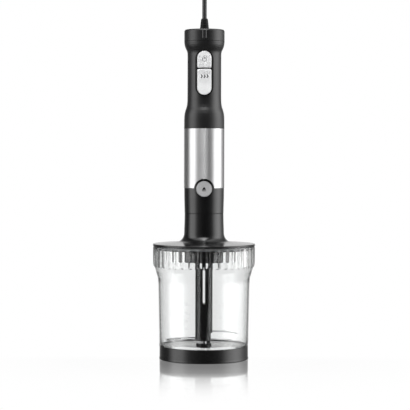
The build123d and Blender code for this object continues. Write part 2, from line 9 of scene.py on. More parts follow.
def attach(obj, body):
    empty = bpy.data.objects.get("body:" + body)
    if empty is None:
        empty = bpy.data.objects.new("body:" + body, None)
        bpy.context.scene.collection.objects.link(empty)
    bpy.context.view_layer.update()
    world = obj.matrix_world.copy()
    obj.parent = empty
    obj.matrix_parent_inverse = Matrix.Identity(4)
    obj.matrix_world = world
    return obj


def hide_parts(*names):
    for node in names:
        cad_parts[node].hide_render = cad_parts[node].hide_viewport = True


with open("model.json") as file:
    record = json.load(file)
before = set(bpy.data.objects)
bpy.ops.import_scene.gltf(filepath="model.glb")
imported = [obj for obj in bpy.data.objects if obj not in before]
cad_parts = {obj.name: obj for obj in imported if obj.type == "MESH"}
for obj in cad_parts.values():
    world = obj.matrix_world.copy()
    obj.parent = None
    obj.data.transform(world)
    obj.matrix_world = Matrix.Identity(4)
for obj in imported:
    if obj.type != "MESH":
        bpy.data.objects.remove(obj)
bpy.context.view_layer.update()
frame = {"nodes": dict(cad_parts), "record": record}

NODES = frame["nodes"]
MM = 0.001
scene = bpy.context.scene

# ------------------------------------------------------------------ camera
cam_data = bpy.data.cameras.new("camera")
cam = bpy.data.objects.new("camera", cam_data)
scene.collection.objects.link(cam)
cam_data.lens = 138.0
cam_data.sensor_width = 36.0
cam_data.sensor_fit = "HORIZONTAL"
cam_data.clip_start, cam_data.clip_end = 0.05, 60.0
EYE = Vector((0.00128, -2.2, 0.288))
AIM = Vector((0.00128, 0.0, 0.2155))
cam.location = EYE
q = (AIM - EYE).to_track_quat("-Z", "Y")
cam.rotation_mode = "QUATERNION"
cam.rotation_quaternion = q @ Quaternion((0, 0, 1), math.radians(0.13))
scene.camera = cam
scene.view_settings.view_transform = "Standard"
scene.view_settings.look = "None"


# ------------------------------------------------------------- node helpers
class Tree:
    """Small helper over a node tree."""

    def __init__(self, tree):
        self.t = tree
        tree.nodes.clear()

    def add(self, kind, **props):
        n = self.t.nodes.new(kind)
        for k, v in props.items():
            setattr(n, k, v)
        return n

    def link(self, a, b):
        self.t.links.new(a, b)
        return b

    def math(self, op, a, b=None, c=None, clamp=False):
        n = self.add("ShaderNodeMath", operation=op)
        n.use_clamp = clamp
        for i, v in enumerate((a, b, c)):
            if v is None:
                continue
            if isinstance(v, (int, float)):
                n.inputs[i].default_value = v
            else:
                self.t.links.new(v, n.inputs[i])
        return n.outputs[0]

    def noise(self, vec, scale, detail=3.0, rough=0.5, dist=0.0):
        n = self.add("ShaderNodeTexNoise")
        n.inputs["Scale"].default_value = scale
        n.inputs["Detail"].default_value = detail
        n.inputs["Roughness"].default_value = rough
        n.inputs["Distortion"].default_value = dist
        self.t.links.new(vec, n.inputs["Vector"])
        return n.outputs["Fac"]

    def ramp(self, fac, stops, mode="LINEAR"):
        n = self.add("ShaderNodeValToRGB")
        n.color_ramp.interpolation = mode
        el = n.color_ramp.elements
        while len(el) < len(stops):
            el.new(0.5)
        for e, (p, c) in zip(el, stops):
            e.position = p
            e.color = (*c, 1.0) if isinstance(c, (tuple, list)) else (c, c, c, 1.0)
        self.t.links.new(fac, n.inputs["Fac"])
        return n.outputs["Color"]

    def mapped(self, vec, scale=(1, 1, 1), loc=(0, 0, 0), rot=(0, 0, 0)):
        n = self.add("ShaderNodeMapping")
        n.inputs["Scale"].default_value = scale
        n.inputs["Location"].default_value = loc
        n.inputs["Rotation"].default_value = rot
        self.t.links.new(vec, n.inputs["Vector"])
        return n.outputs["Vector"]

    def range(self, v, a, b, c, d, clamp=True):
        n = self.add("ShaderNodeMapRange")
        n.clamp = clamp
        for i, x in enumerate((a, b, c, d)):
            n.inputs[i + 1].default_value = x
        self.t.links.new(v, n.inputs[0])
        return n.outputs[0]

    def bump(self, height, strength, distance, normal=None):
        n = self.add("ShaderNodeBump")
        n.inputs["Strength"].default_value = strength
        n.inputs["Distance"].default_value = distance
        self.t.links.new(height, n.inputs["Height"])
        if normal is not None:
            self.t.links.new(normal, n.inputs["Normal"])
        return n.outputs["Normal"]


def new_material(name):
    m = bpy.data.materials.new(name)
    m.use_nodes = True
    t = Tree(m.node_tree)
    out = t.add("ShaderNodeOutputMaterial")
    bsdf = t.add("ShaderNodeBsdfPrincipled")
    t.link(bsdf.outputs[0], out.inputs["Surface"])
    co = t.add("ShaderNodeTexCoord").outputs["Object"]
    return m, t, bsdf, co


def mix_color(t, fac, a, b):
    n = t.add("ShaderNodeMix", data_type="RGBA")
    for i, v in ((6, a), (7, b)):
        if isinstance(v, tuple):
            n.inputs[i].default_value = (*v, 1.0)
        else:
            t.link(v, n.inputs[i])
    t.link(fac, n.inputs[0])
    return n.outputs[2]


def plastic(name, base, rough, grain=2600.0, grain_depth=0.00002, rough_var=0.06, coat=0.0,
            shade=0.35, ior=1.5, smudge=18.0):
    """Moulded plastic: fine mould grain, faint cloudy change of gloss and shade."""
    m, t, b, co = new_material(name)
    cloud = t.noise(co, smudge, 4.0, 0.6)
    fine = t.noise(co, grain, 2.0, 0.5)
    speck = t.noise(co, 620.0, 3.0, 0.6)
    dark = tuple(c * (1 - shade) for c in base)
    lite = tuple(min(1.0, c * (1 + shade)) for c in base)
    t.link(mix_color(t, t.range(speck, 0.3, 0.7, 0, 1), dark, lite), b.inputs["Base Color"])
    t.link(t.range(cloud, 0.25, 0.75, rough - rough_var, rough + rough_var), b.inputs["Roughness"])
    b.inputs["IOR"].default_value = ior
    b.inputs["Coat Weight"].default_value = coat
    t.link(t.bump(fine, 0.6, grain_depth), b.inputs["Normal"])
    return m


def turned_metal(name, base, rough, direction="z", lines=1800.0, depth=0.00001, aniso=0.0, along=6.0):
    """Metal with fine tool lines that run round the Z axis (direction z) or another way."""
    m, t, b, co = new_material(name)
    s = {"z": (along, along, lines), "x": (lines, along, along), "y": (along, lines, along)}[direction]
    fine = t.noise(t.mapped(co, s), 1.0, 4.0, 0.65)
    cloud = t.noise(co, 30.0, 3.0, 0.6)
    dark = tuple(c * 0.86 for c in base)
    t.link(mix_color(t, t.range(fine, 0.3, 0.7, 0, 1), dark, base), b.inputs["Base Color"])
    b.inputs["Metallic"].default_value = 1.0
    b.inputs["Anisotropic"].default_value = aniso
    b.inputs["Anisotropic Rotation"].default_value = 0.25 if aniso else 0.0
    t.link(t.range(cloud, 0.25, 0.75, rough - 0.03, rough + 0.04), b.inputs["Roughness"])
    t.link(t.bump(fine, 0.5, depth), b.inputs["Normal"])
    return m


M = {}
M["soft_touch"] = plastic("soft_touch", (0.0062, 0.0062, 0.0066), 0.34, 3000, 0.00003, 0.04)
M["black_plastic"] = plastic("black_plastic", (0.0032, 0.0032, 0.0034), 0.2, 2400, 0.00001, 0.04)
M["black_gloss"] = plastic("black_gloss", (0.002, 0.002, 0.0022), 0.09, 900, 0.000003, 0.03)
M["foot_rubber"] = plastic("foot_rubber", (0.0022, 0.0022, 0.0023), 0.22, 1800, 0.00001, 0.04)
M["inner_plastic"] = plastic("inner_plastic", (0.30, 0.30, 0.29), 0.45, 1500, 0.00003, 0.06, shade=0.08)
M["fan_plastic"] = plastic("fan_plastic", (0.62, 0.60, 0.54), 0.4, 1500, 0.00002, 0.05, shade=0.05)
M["gear_nylon"] = plastic("gear_nylon", (0.70, 0.68, 0.60), 0.38, 1400, 0.00002, 0.06, shade=0.06)
M["silicone"] = plastic("silicone", (0.33, 0.34, 0.35), 0.42, 1400, 0.00001, 0.06, shade=0.06)
M["capacitor_film"] = plastic("capacitor_film", (0.55, 0.40, 0.04), 0.3, 900, 0.00001, 0.05, shade=0.1)
M["light_grey"] = plastic("light_grey", (0.50, 0.50, 0.51), 0.28, 2600, 0.00001, 0.04, shade=0.04)
M["carbon"] = plastic("carbon", (0.02, 0.02, 0.021), 0.6, 1800, 0.00006, 0.08)
M["lead_rubber"] = plastic("lead_rubber", (0.020, 0.020, 0.021), 0.36, 1600, 0.000008, 0.05, shade=0.10)
M["plug_plastic"] = plastic("plug_plastic", (0.010, 0.010, 0.011), 0.36, 2000, 0.00003, 0.05)
M["brushed_steel"] = turned_metal("brushed_steel", (0.68, 0.68, 0.685), 0.42, "z", 5200, 0.000006, 0.90)
M["blade_steel"] = turned_metal("blade_steel", (0.60, 0.60, 0.61), 0.22, "y", 3000, 0.00001)
M["steel"] = turned_metal("steel", (0.58, 0.58, 0.59), 0.2, "z", 4000, 0.000008)
M["zinc_screw"] = turned_metal("zinc_screw", (0.62, 0.63, 0.66), 0.24, "z", 2500, 0.00001)
M["nickel_pin"] = turned_metal("nickel_pin", (0.68, 0.66, 0.62), 0.18, "y", 2500, 0.000008)
M["bronze"] = turned_metal("bronze", (0.50, 0.33, 0.14), 0.35, "z", 1800, 0.00002)
M["lamination"] = turned_metal("lamination", (0.24, 0.24, 0.26), 0.42, "z", 1300, 0.0001)
M["satin_silver"] = plastic("satin_silver", (0.82, 0.825, 0.83), 0.34, 2600, 0.00001, 0.04, coat=0.0, shade=0.05)


def copper_wire():
    """Enamelled copper wire, wound layer on layer."""
    m, t, b, co = new_material("copper_wire")
    w = t.add("ShaderNodeTexWave", wave_type="BANDS", bands_direction="Z", wave_profile="SIN")
    w.inputs["Scale"].default_value = 420.0
    w.inputs["Distortion"].default_value = 1.2
    w.inputs["Detail"].default_value = 2.0
    t.link(co, w.inputs["Vector"])
    t.link(mix_color(t, w.outputs["Fac"], (0.20, 0.06, 0.02), (0.62, 0.25, 0.09)), b.inputs["Base Color"])
    b.inputs["Metallic"].default_value = 0.7
    b.inputs["Roughness"].default_value = 0.32
    t.link(t.bump(w.outputs["Fac"], 0.8, 0.0003), b.inputs["Normal"])
    return m


def laminate():
    """Green circuit laminate with faint copper tracks under the mask."""
    m, t, b, co = new_material("circuit_laminate")
    v = t.add("ShaderNodeTexVoronoi", feature="DISTANCE_TO_EDGE")
    v.inputs["Scale"].default_value = 260.0
    t.link(co, v.inputs["Vector"])
    f = t.range(v.outputs["Distance"], 0.05, 0.12, 1, 0)
    t.link(mix_color(t, f, (0.012, 0.09, 0.035), (0.05, 0.22, 0.08)), b.inputs["Base Color"])
    t.link(t.range(t.noise(co, 90, 3), 0.3, 0.7, 0.22, 0.34), b.inputs["Roughness"])
    t.link(t.bump(f, 0.4, 0.00005), b.inputs["Normal"])
    return m


def strap():
    """Woven hook-and-loop strap."""
    m, t, b, co = new_material("tie_strap")
    w = t.add("ShaderNodeTexWave", wave_type="BANDS", bands_direction="DIAGONAL")
    w.inputs["Scale"].default_value = 900.0
    t.link(co, w.inputs["Vector"])
    f = t.noise(co, 2400, 3)
    t.link(mix_color(t, w.outputs["Fac"], (0.008, 0.008, 0.009), (0.03, 0.03, 0.032)), b.inputs["Base Color"])
    b.inputs["Roughness"].default_value = 0.9
    b.inputs["Sheen Weight"].default_value = 0.3
    t.link(t.bump(f, 0.7, 0.0002), b.inputs["Normal"])
    return m


M["soft_touch_lid"] = plastic("soft_touch_lid", (0.0035, 0.0035, 0.0037), 0.16, 3000, 0.000006, 0.04)
M["boot_rubber"] = plastic("boot_rubber", (0.0018, 0.0018, 0.0019), 0.5, 1600, 0.00002, 0.05, ior=1.27)
# button bezel: black plastic made darker and less glossy than the housing, as painted shade standing in for the shadow
# in the recess round the buttons
M["bezel_black_painted_shade"] = plastic("bezel_black_painted_shade", (0.0022, 0.0022, 0.0023), 0.42, 2400, 0.00001, 0.05, ior=1.25)
M["black_pointer"] = plastic("black_pointer", (0.0055, 0.0055, 0.006), 0.12, 2400, 0.00001, 0.03)
M["release_grey"] = plastic("release_grey", (0.40, 0.40, 0.405), 0.34, 1500, 0.00006, 0.05, shade=0.10)
M["mark_ink"] = plastic("mark_ink", (0.72, 0.72, 0.73), 0.5, 1500, 0.00001, 0.05, shade=0.05)
M["copper_wire"] = copper_wire()
M["circuit_laminate"] = laminate()
M["tie_strap"] = strap()


def clear_plastic():
    """Clear moulded bowl plastic: real refraction, faint surface waviness and fine scuffs."""
    m, t, b, co = new_material("clear_plastic")
    b.inputs["Base Color"].default_value = (0.985, 0.99, 0.99, 1.0)
    b.inputs["Transmission Weight"].default_value = 1.0
    b.inputs["IOR"].default_value = 1.5
    scuff = t.noise(t.mapped(co, (60, 60, 9)), 1.0, 5.0, 0.7)
    t.link(t.range(scuff, 0.5, 0.85, 0.0, 0.02), b.inputs["Roughness"])
    wave = t.noise(co, 9.0, 2.0, 0.4)
    t.link(t.bump(wave, 0.2, 0.0004), b.inputs["Normal"])
    vol = t.add("ShaderNodeVolumeAbsorption")
    vol.inputs["Color"].default_value = (0.30, 0.32, 0.31, 1.0)
    vol.inputs["Density"].default_value = 34.0
    out = next(n for n in t.t.nodes if n.type == "OUTPUT_MATERIAL")
    t.link(vol.outputs[0], out.inputs["Volume"])
    return m


M["clear_plastic"] = clear_plastic()


# -------------------------------------------------------- materials on CAD
slot_of = {s["node"]: s["material_slot"] for s in frame["record"]["subparts"]}
for name, obj in NODES.items():
    obj.data.materials.clear()
    obj.data.materials.append(M[slot_of[name]])


def use(node, key):
    NODES[node].data.materials.clear()
    NODES[node].data.materials.append(M[key])


use("lid_base", "black_gloss")
# the bezel gets the darkened black: painted shade for the recess round the buttons
use("button_bezel", "bezel_black_painted_shade")


# ----------------------------------------------------------- mesh helpers
# --------------------------------------------------------------------- lead
D = 0.0063
COIL = (-0.019, 0.1335)
LAND_Z = 0.0005 + D / 2
route = [(0, 0, 475.7), (0, 0, 500.0), (0, 0.4, 528.2), (0, 10.2, 545.8), (0, 27.8, 556.0),
         (0, 48.2, 556.0), (0, 65.8, 545.8), (0, 76.0, 528.2), (0, 78.5, 499.0), (0.3, 80.5, 452.0),
         (1.5, 82.5, 396.0), (3.5, 85.0, 338.0), (5.5, 88.3, 280.0), (7.2, 91.6, 222.0),
         (8.2, 95.2, 164.0), (8.4, 98.4, 108.0), (7.8, 100.1, 66.0), (6.6, 100.5, 29.27),
         (6.6, 109.88, 13.03), (6.6, 126.12, 3.65)]
pts = [Vector(p) * MM for p in route]
PER = 16                        # control points in each turn of the coil
for k in range(44):
    t = (k + 0.5) / PER
    r = (25.6 + 6.3 * t) / math.cos(math.pi / PER) * MM
    a = 2 * math.pi * t
    pts.append(Vector((COIL[0] + r * math.cos(a), COIL[1] + r * math.sin(a), LAND_Z)))
tail = [(-10.0, 90.6, 3.65), (0.5, 90.6, 6.85), (9.5, 90.6, 6.85)]
pts += [Vector(p) * MM for p in tail]
cu = bpy.data.curves.new("mains_lead", "CURVE")
cu.dimensions = "3D"
sp = cu.splines.new("NURBS")
sp.points.add(len(pts) - 1)
for p, v in zip(sp.points, pts):
    p.co = (*v, 1.0)
sp.order_u = 3
sp.use_endpoint_u = True
sp.resolution_u = 8
cu.bevel_depth = D / 2
cu.bevel_resolution = 6
cu.use_fill_caps = True
lead = bpy.data.objects.new("mains_lead", cu)
scene.collection.objects.link(lead)
cu.materials.append(M["lead_rubber"])
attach(lead, "motor_unit")
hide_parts("cord_tube", "cord_coil", "cord_tail")

# ------------------------------------------------------------ mesh builders
def rounded(pts, closed=False, seg=5):
    """Profile in mm with (r, z) or (r, z, fillet) corners; a corner with a fillet becomes an arc."""
    n, out = len(pts), []
    for i, p in enumerate(pts):
        b = Vector(p[:2])
        f = p[2] if len(p) > 2 else 0.0
        if f <= 0 or (not closed and i in (0, n - 1)):
            out.append(b)
            continue
        a, c = Vector(pts[i - 1][:2]), Vector(pts[(i + 1) % n][:2])
        u, v = a - b, c - b
        half = u.angle(v) / 2
        d = min(f / math.tan(half), 0.48 * u.length, 0.48 * v.length)
        r = d * math.tan(half)
        u.normalize()
        v.normalize()
        cen = b + (u + v).normalized() * (r / math.sin(half))
        s, e = b + u * d - cen, b + v * d - cen
        a0 = math.atan2(s.y, s.x)
        da = (math.atan2(e.y, e.x) - a0 + math.pi) % (2 * math.pi) - math.pi
        for k in range(seg + 1):
            t = a0 + da * k / seg
            out.append(cen + Vector((math.cos(t), math.sin(t))) * r)
    return held(out, closed)


def held(pts, closed, gap=0.35, longer=3.2):
    """Extra points close to the ends of long runs, so that their faces shade flat."""
    out, n = [], len(pts)
    for i, p in enumerate(pts):
        out.append(p)
        if i == n - 1 and not closed:
            break
        q = pts[(i + 1) % n]
        L = (q - p).length
        if L > longer:
            out.append(p.lerp(q, gap / L))
            out.append(p.lerp(q, 1 - gap / L))
    return out


def flowing(pts, sub=4):
    """Catmull-Rom curve through the points."""
    P = [Vector(p) for p in pts]
    P = [2 * P[0] - P[1]] + P + [2 * P[-1] - P[-2]]
    out = []
    for a, b, c, d in zip(P, P[1:], P[2:], P[3:]):
        for k in range(sub):
            t = k / sub
            out.append(0.5 * ((2 * b) + (c - a) * t + (2 * a - 5 * b + 4 * c - d) * t * t
                              + (3 * b - a - 3 * c + d) * t ** 3))
    out.append(P[-2])
    return out


def lathe(name, prof, key, n=192, closed=False, warp=None, angle=35.0):
    verts, rings, faces = [], [], []
    for j, p in enumerate(prof):
        r, z = p[0], p[1]
        if r < 1e-6:
            rings.append([len(verts)] * n)
            verts.append((0, 0, z * MM))
            continue
        rings.append(list(range(len(verts), len(verts) + n)))
        for i in range(n):
            a = 2 * math.pi * i / n
            rr = warp(r, z, a, j) if warp else r
            verts.append((rr * math.cos(a) * MM, rr * math.sin(a) * MM, z * MM))
    m = len(prof)
    for j in range(m if closed else m - 1):
        A, B = rings[j], rings[(j + 1) % m]
        for i in range(n):
            k = (i + 1) % n
            f = list(dict.fromkeys((A[i], A[k], B[k], B[i])))
            if len(f) > 2:
                faces.append(f)
    return finished(name, verts, faces, key, angle)


def finished(name, verts, faces, key, angle=35.0, weld=2e-6):
    me = bpy.data.meshes.new(name)
    me.from_pydata([tuple(v) for v in verts], [], faces)
    bm = bmesh.new()
    bm.from_mesh(me)
    bmesh.ops.remove_doubles(bm, verts=bm.verts, dist=weld)
    bmesh.ops.dissolve_degenerate(bm, edges=bm.edges, dist=weld / 4)
    bmesh.ops.recalc_face_normals(bm, faces=bm.faces)
    lim = math.radians(angle)
    for f in bm.faces:
        f.smooth = True
    for e in bm.edges:
        e.smooth = not (len(e.link_faces) == 2 and e.calc_face_angle(0.0) > lim)
    bm.to_mesh(me)
    bm.free()
    me.materials.append(M[key])
    ob = bpy.data.objects.new(name, me)
    scene.collection.objects.link(ob)
    return ob


def place(ob, body, slot, *nodes):
    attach(ob, body)
    if nodes:
        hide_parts(*nodes)
    return ob


def grid_solid(name, front, back, key, angle=35.0):
    """Solid between two equal grids of points (rows of columns), closed round their border."""
    nr, nc = len(front), len(front[0])
    verts = [p for row in front for p in row] + [p for row in back for p in row]
    o = nr * nc
    faces = []
    for j in range(nr - 1):
        for i in range(nc - 1):
            a = j * nc + i
            faces.append((a, a + 1, a + nc + 1, a + nc))
            faces.append((o + a, o + a + nc, o + a + nc + 1, o + a + 1))
    rim = ([i for i in range(nc)] + [j * nc + nc - 1 for j in range(1, nr)]
           + [(nr - 1) * nc + i for i in range(nc - 2, -1, -1)] + [j * nc for j in range(nr - 2, 0, -1)])
    for a, b in zip(rim, rim[1:] + rim[:1]):
        faces.append((a, b, o + b, o + a))
    return finished(name, verts, faces, key, angle)


# ------------------------------------------------------------------- bowl
FR, FC = 12.75, 82.55          # radius of each hollow flute, and of the circle of their centres


def flute(r, z, a, j):
    if r < 69.6 or z > 156.6 or z < 119:
        return r
    p = (a + math.radians(5)) % math.radians(10) - math.radians(5)
    return min(r, FC * math.cos(p) - math.sqrt(FR ** 2 - (FC * math.sin(p)) ** 2))


b_out = flowing([(63.9, 97), (64.2, 108.2), (64.4, 111), (64.9, 114), (65.6, 116.6), (66.4, 119.4),
                 (67.2, 122.2), (68.05, 125), (68.8, 127.4), (69.4, 129), (70.6, 131), (71.0, 133),
                 (71.15, 136)], 4)
b_in = flowing([(61.6, 97), (61.9, 108), (62.5, 112.4), (63.5, 116.4), (64.7, 120.4), (65.9, 124),
                (67.2, 128.4), (68.2, 131.2), (68.3, 134.0)], 4)
V = Vector
bowl_prof = ([V((0, 18)), V((30, 18)), V((56.6, 18)), V((57.4, 18.1)), V((58.2, 18.5)), V((58.9, 19.2)),
              V((59.4, 20.2)), V((59.62, 21.2)), V((60.2, 27))]
             + [V((60.2 + 1.4 * k / 8, 27 + 70 * k / 8)) for k in range(1, 8)] + b_in
             + [V((68.3, 145)), V((68.3, 157.6)), V((68.45, 158.2)), V((68.8, 158.4)),
                V((70.6, 158.4)), V((71.0, 158.25)), V((71.25, 157.9)), V((71.3, 157.5)),
                V((71.3, 156.85)), V((71.3, 156.65)), V((71.3, 156.59)), V((71.3, 154)), V((71.3, 150)),
                V((71.28, 145)), V((71.2, 140))]
             + b_out[::-1]
             + [V((63.9 - 1.4 * k / 8, 97 - 70 * k / 8)) for k in range(1, 9)]
             + [V((62.2, 23)), V((62.0, 20.2)), V((61.9, 19.6)), V((61.6, 19.15)), V((61.2, 19.06)),
                V((59.9, 19.06)), V((59.55, 18.9)), V((59.55, 17)), V((59.55, 6)), V((59.4, 5.2)),
                V((59.0, 5.0)), V((57.8, 5.0)), V((57.4, 5.2)), V((57.3, 5.6)), V((57.3, 14.4)),
                V((57.0, 15.2)), V((56.3, 15.4)), V((8.0, 15.4)), V((7.2, 15.2)), V((7.0, 14.6)),
                V((7.0, 9.6)), V((6.6, 9.0)), V((0, 9.0))])
bowl = lathe("bowl_shell", bowl_prof, "clear_plastic", n=432, warp=flute, angle=28)
place(bowl, "bowl", "clear_plastic", "bowl")

ring = lathe("foot_ring_moulded", rounded(
    [(50, 0.0, 0.6), (62.0, 0.0, 0.5), (62.5, 0.45, 0.4), (62.5, 1.8, 0.5), (62.12, 3.4, 0.5),
     (62.05, 18.3, 0.0), (61.9, 18.9, 0.5), (61.2, 19.03, 0.3), (59.62, 19.03, 0.15), (59.62, 5, 0.3),
     (50, 5, 0.6)], closed=True), "foot_rubber", n=256, closed=True)
place(ring, "bowl", "foot_rubber", "foot_ring")


# measuring marks on the bowl wall: short raised lines and figures
def wall_r(z):
    return 61.9 + (z - 19) * 0.6 / 8 if z < 27 else 62.5 + (z - 27) * 1.4 / 70


def on_wall(x, z, lift):
    r = wall_r(z) + lift
    a = x / r
    return (r * math.sin(a) * MM, -r * math.cos(a) * MM, z * MM)


def mark_strips(strips, name):
    verts, faces = [], []
    for (x0, z0, x1, z1, w) in strips:
        L = math.hypot(x1 - x0, z1 - z0)
        ux, uz = (x1 - x0) / L, (z1 - z0) / L
        nx, nz = -uz * w / 2, ux * w / 2
        k = max(1, int(L / 1.2))
        base = len(verts)
        for i in range(k + 1):
            cx, cz = x0 + (x1 - x0) * i / k, z0 + (z1 - z0) * i / k
            for lift in (-0.05, 0.12):
                verts.append(on_wall(cx + nx, cz + nz, lift))
                verts.append(on_wall(cx - nx, cz - nz, lift))
        for i in range(k):
            a, b = base + 4 * i, base + 4 * i + 4
            faces += [(a + 2, a + 3, b + 3, b + 2), (a, b, b + 1, a + 1),
                      (a, a + 2, b + 2, b), (a + 1, b + 1, b + 3, a + 3)]
        e = base + 4 * k
        faces += [(base, base + 1, base + 3, base + 2), (e, e + 2, e + 3, e + 1)]
    return finished(name, verts, faces, "mark_ink", 30, weld=1e-7)


SEG = {"0": "abcdef", "1": "bc", "2": "abged", "3": "abgcd", "4": "fgbc", "5": "afgcd", "6": "afgedc",
       "7": "abc", "8": "abcdefg", "9": "abcdfg"}


def figure(text, x, z, h, w=0.34):
    """Plain stroke figures, drawn as short bars."""
    out, cw = [], h * 0.5
    for ch in text:
        c = {"a": (0, 1, 1, 1), "b": (1, 1, 1, .5), "c": (1, .5, 1, 0), "d": (0, 0, 1, 0),
             "e": (0, 0, 0, .5), "f": (0, .5, 0, 1), "g": (0, .5, 1, .5)}
        for s in SEG[ch]:
            x0, z0, x1, z1 = c[s]
            out.append((x + x0 * cw, z + (z0 - .5) * h, x + x1 * cw, z + (z1 - .5) * h, w))
        x += cw * 1.65
    return out


strips = []
for txt, z in (("500", 80.8), ("400", 68.6), ("300", 57.6), ("200", 46.6), ("100", 35.6)):
    strips += figure(txt, -27.6, z + 1.5, 2.5)
    strips.append((-27.8, z - 0.9, -19.2, z - 0.9, 0.5))
for z in (74.6, 63.0, 52.0, 41.0):
    strips.append((-23.4, z - 0.9, -19.2, z - 0.9, 0.34))
for txt, z in (("15", 80.8), ("10", 63.2), ("5", 50.0)):
    strips += figure(txt, 20.6, z + 1.5, 2.5)
    strips.append((17.6, z - 0.9, 25.2, z - 0.9, 0.5))
for z in (72.0, 56.6, 43.4):
    strips.append((17.6, z - 0.9, 21.6, z - 0.9, 0.34))
marks = mark_strips(strips, "measuring_marks")
place(marks, "bowl", "light_grey")

# ------------------------------------------------------------- blade unit


def span(plan, x):
    ys = []
    for (x0, y0), (x1, y1) in zip(plan, plan[1:] + plan[:1]):
        if (x0 - x) * (x1 - x) <= 0 and x0 != x1:
            ys.append(y0 + (y1 - y0) * (x - x0) / (x1 - x0))
    return (min(ys), max(ys)) if ys else None


def polyline_z(line, x):
    for (x0, z0), (x1, z1) in zip(line, line[1:]):
        if min(x0, x1) <= x <= max(x0, x1):
            return z0 + (z1 - z0) * (x - x0) / (x1 - x0)
    return line[0][1] if abs(x - line[0][0]) < abs(x - line[-1][0]) else line[-1][1]


def ground_blade(name, line, plan, root, tip, low_edge, node):
    """Bent blade with a long ground bevel on its cutting edge and a blunt back."""
    line = [tuple(p) for p in flowing(line, 6)]
    plan = [tuple(p) for p in flowing(plan + plan[:1], 5)][:-1]
    T, n = 1.3, 72
    front, back = [], []
    for k in range(n + 1):
        s = 1 - (1 - k / n) ** 1.6
        x = root + (tip - root) * s
        sp = span(plan, x)
        if sp is None:
            continue
        z = polyline_z(line, x)
        lo, hi = sp
        cut, spine = (lo, hi) if low_edge else (hi, lo)
        W = abs(spine - cut)
        sgn = 1 if spine > cut else -1
        bev = min(3.4, 0.55 * W)
        offs = [0.0, 0.12, 0.35, 0.7, 1.0]
        ys = [cut + sgn * bev * o for o in offs] + [cut + sgn * (bev + (W - bev) * t)
                                                   for t in (0.08, 0.35, 0.65, 0.9, 0.975, 1.0)]
        th = [0.08] + [0.08 + (T - 0.08) * o for o in offs[1:]] + [T, T, T, T, T * 0.9, T * 0.55]
        f, b = [], []
        for y, t in zip(ys, th):
            f.append(V((x, y, z + T / 2 - (T - t) * 0.72)) * MM)
            b.append(V((x, y, z - T / 2 + (T - t) * 0.28)) * MM)
        front.append(f)
        back.append(b)
    ob = grid_solid(name, front, back, "blade_steel", 24)
    place(ob, "blade_unit", "blade_steel", node)
    return ob


ground_blade("upper_blade_ground", [(-9, 38.7), (20, 38.7), (29, 38.4), (36, 37.3), (42, 36.0), (47, 34.7)],
             [(-9, -5), (8, -6.5), (16, -9.5), (24, -10.2), (32, -8.6), (39, -4.6), (44, 0.2),
              (46.8, 5.0), (46.2, 6.2), (42, 5.2), (36, 4.6), (28, 4.6), (18, 5.2), (8, 6.0), (-9, 5)],
             5.2, 46.7, True, "upper_blade")
ground_blade("lower_blade_ground", [(-39, 28.9), (-30, 28.4), (-20, 27.4), (-8, 26.6), (9, 26.6)],
             [(9, 5), (-8, 6.5), (-14, 9.2), (-21, 9.6), (-28, 7.6), (-34, 3.4), (-38.6, -3.6),
              (-38.0, -4.8), (-33, -4.6), (-26, -4.6), (-16, -5.2), (-8, -6.0), (9, -5)],
             -5.2, -38.5, False, "lower_blade")

# ------------------------------------------------------------------- lid
lid_out = flowing([(71.3, 161.4), (60, 162.3), (45, 163.4), (37, 164.3), (34.2, 165.1), (32.1, 166.8),
                   (30.6, 168.4), (29.4, 170.2), (28.5, 172.6), (28.0, 175.4), (27.7, 183.8),
                   (27.4, 192.2), (27.24, 200.6)], 5)
lid_in = flowing([(24.8, 182), (25.4, 176), (25.9, 172), (27.2, 168.6), (29.3, 165.4), (31.5, 163.4),
                  (34, 162.2), (45, 161)], 3)
lid_prof = (rounded([(66.0, 158.5), (71.36, 158.5, 0.25), (71.66, 158.8, 0.2), (71.66, 160.9, 0.5),
                     (71.2, 161.42)], False, 4)
            + lid_out[1:] + [V((27.21, 203.3)), V((27.1, 203.8)), V((26.8, 203.98)), V((25.1, 203.98)),
                             V((24.84, 203.8)), V((24.8, 203.4))]
            + lid_in + [V((60, 159.9)), V((66, 159.4))])
lid = lathe("lid_cover_moulded", lid_prof, "soft_touch_lid", n=256, closed=True, angle=40)
place(lid, "lid", "soft_touch", "lid_cover")

# ---------------------------------------------------------- brushed sleeve
def sleeve_low(x, y):
    lo = 239.5
    if y < 0 and abs(x) < 14.05:
        lo = max(lo, 238.5 + math.sqrt(14.05 ** 2 - x * x))
    return lo


n, rows = 512, 44
front, back = [], []
for j in range(rows + 1):
    t = j / rows
    fr, bk = [], []
    for i in range(n + 1):
        a = 2 * math.pi * i / n
        x, y = 28.2 * math.sin(a), -28.2 * math.cos(a)
        lo = sleeve_low(x, y)
        tt = {0: 0.0, 1: 0.12 / (322.3 - lo), 2: 0.5 / (322.3 - lo)}.get(j, t)
        if j >= rows - 2:
            tt = {rows: 1.0, rows - 1: 1 - 0.12 / (322.3 - lo), rows - 2: 1 - 0.5 / (322.3 - lo)}[j]
        z = lo + (322.3 - lo) * tt
        ro = 28.2 - (0.12 if j in (0, rows) else 0.0)
        fr.append(V((ro * math.sin(a), -ro * math.cos(a), z)) * MM)
        bk.append(V((27.3 * math.sin(a), -27.3 * math.cos(a), z)) * MM)
    front.append(fr)
    back.append(bk)
sleeve = grid_solid("brushed_sleeve", front, back, "brushed_steel", 40)
place(sleeve, "motor_unit", "brushed_steel", "steel_sleeve")


